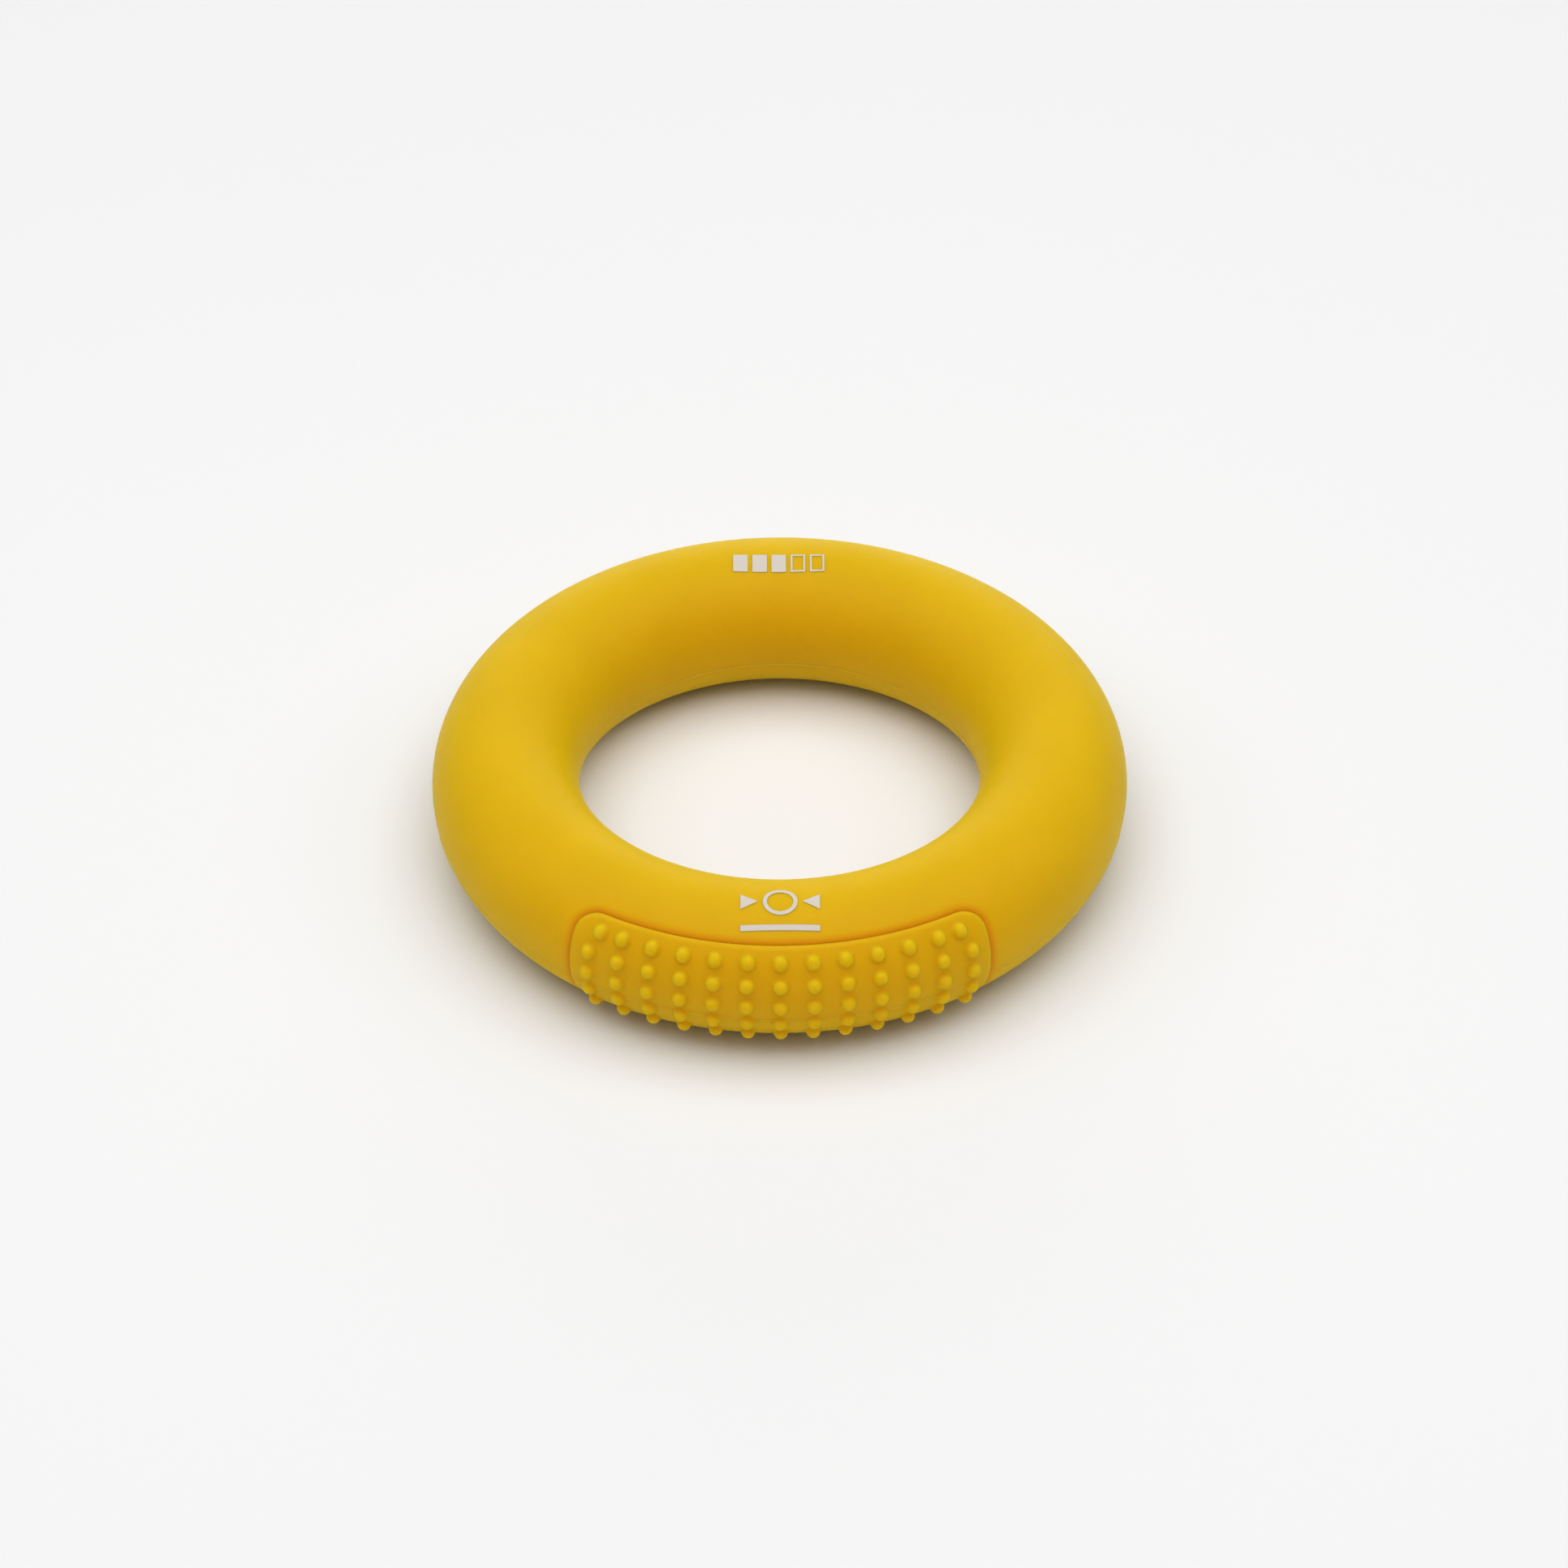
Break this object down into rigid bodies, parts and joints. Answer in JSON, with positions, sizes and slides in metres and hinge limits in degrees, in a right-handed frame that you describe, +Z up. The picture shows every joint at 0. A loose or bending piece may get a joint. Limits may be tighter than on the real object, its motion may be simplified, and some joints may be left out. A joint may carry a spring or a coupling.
{
  "type": "hand grip ring",
  "caption": "Solid silicone hand grip ring of round section, with a studded finger pad on one side, a level mark and a squeeze mark printed on it.",
  "frame": {"origin": "where the ring's own axis meets the plane that it rests on. The nubs stand a little over 1 mm past the ring on its -Y side, so the bounding box is centred about 0.6 mm to -Y of the axis", "axes": "+Z up along the ring's axis, -Y towards the middle of the grip pad, +X to the right when the pad is seen from the front"},
  "size_m": [0.088, 0.0892, 0.0187],
  "materials": {
    "silicone": "matte",
    "ink": "matte"
  },
  "bodies": {
    "root": {"ring_body": "silicone", "grip_pad": "silicone", "grip_nubs_row_1": "silicone", "grip_nubs_row_2": "silicone", "grip_nubs_row_3": "silicone", "grip_nubs_row_4": "silicone", "grip_nubs_row_5": "silicone", "parting_line_outer": "silicone", "parting_line_pad": "silicone", "parting_line_inner": "silicone", "level_mark": "ink", "squeeze_mark": "ink"}
  },
  "joints": []
}
